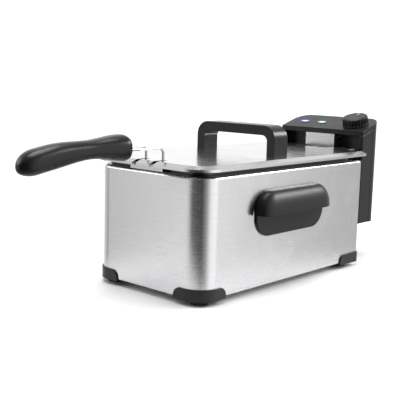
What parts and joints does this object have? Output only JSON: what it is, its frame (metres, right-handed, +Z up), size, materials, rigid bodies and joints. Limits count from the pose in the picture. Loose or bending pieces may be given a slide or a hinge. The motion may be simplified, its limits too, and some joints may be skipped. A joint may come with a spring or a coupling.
{
  "type": "deep fryer",
  "caption": "Stainless-steel deep fryer with a lift-out enamelled pot, wire basket with a front handle, loose lid and a rear control unit",
  "frame": {"origin": "middle of the bottom face of the whole fryer's box, on the surface it stands on", "axes": "+X to the fryer's right seen from behind the basket handle, +Y from the basket handle at the front to the control head at the rear, +Z up"},
  "size_m": [0.246, 0.658, 0.2371],
  "materials": {
    "housing_shell": "horizontal brushed stainless steel",
    "lid_plate": "finely brushed stainless steel",
    "steel_parts": "plain bent steel sheet",
    "chrome_wire": "bright chromed wire",
    "element_tube": "dull oxidised element sheath",
    "screws": "zinc-plated",
    "enamel": "black vitreous enamel",
    "black_moulding": "satin black moulded plastic",
    "grey_moulding": "dark grey moulded plastic",
    "handle_plastic": "fine-grained black plastic",
    "panel_black": "black powder-coated steel",
    "rubber": "matt black rubber",
    "white_plastic": "ivory technical plastic",
    "lens_blue": "translucent blue window",
    "lens_green": "translucent green window",
    "reset_red": "red button",
    "brass": "copper-coloured sensor bulb"
  },
  "bodies": {
    "housing": {"housing_shell": "housing_shell", "rear_panel": "panel_black", "base_plate": "steel_parts", "rear_rails": "black_moulding", "foot_front_left": "grey_moulding", "foot_front_right": "grey_moulding", "foot_rear_left": "grey_moulding", "foot_rear_right": "grey_moulding", "foot_pads": "rubber", "foot_screws": "screws", "carry_plate_left": "black_moulding", "carry_plate_right": "black_moulding", "carry_scoop_left": "black_moulding", "carry_scoop_right": "black_moulding", "carry_screws": "screws"},
    "pot": {"inner_pot": "enamel", "basket_rest": "steel_parts"},
    "control_unit": {"head_shell": "black_moulding", "head_back": "black_moulding", "head_cover": "black_moulding", "hook_block": "black_moulding", "bridge_plate": "steel_parts", "element_box": "steel_parts", "element_guard": "steel_parts", "heating_element": "element_tube", "sensor_bulb": "brass", "thermostat_body": "white_plastic", "thermal_cutout": "black_moulding", "terminal_block": "white_plastic", "microswitch": "black_moulding", "lamp_lens_heat": "lens_blue", "lamp_lens_power": "lens_green", "lamp_holders": "white_plastic", "head_screws": "screws", "cord_gland": "rubber"},
    "knob": {"thermostat_knob": "grey_moulding", "knob_shaft": "screws"},
    "reset": {"reset_button": "reset_red"},
    "basket": {"basket_rim": "chrome_wire", "basket_net": "chrome_wire", "basket_feet": "chrome_wire", "fork_socket": "steel_parts", "handle_fork": "chrome_wire", "handle_grip": "handle_plastic", "grip_screw": "screws"},
    "lid": {"lid_plate": "lid_plate", "lid_handle": "handle_plastic", "lid_handle_screws": "screws"}
  },
  "joints": [
    {"name": "pot_lift", "type": "slide", "parent": "housing", "child": "pot", "axis": [0, 0, 1], "range_m": [0, 0.14]},
    {"name": "control_unit_lift", "type": "slide", "parent": "pot", "child": "control_unit", "axis": [0, 0, 1], "range_m": [0, 0.16]},
    {"name": "basket_lift", "type": "slide", "parent": "control_unit", "child": "basket", "axis": [0, 0, 1], "range_m": [0, 0.13]},
    {"name": "lid_lift", "type": "slide", "parent": "basket", "child": "lid", "axis": [0, 0, 1], "range_m": [0, 0.12]},
    {"name": "knob_turn", "type": "hinge", "parent": "control_unit", "child": "knob", "pos_m": [0.049, 0.29741, 0.21638], "axis": [0, -0.2907, 0.9568], "range_deg": [0, 270]},
    {"name": "reset_press", "type": "slide", "parent": "control_unit", "child": "reset", "axis": [0, -1, 0], "range_m": [0, 0.0025], "stiffness_N_per_m": 400}
  ]
}
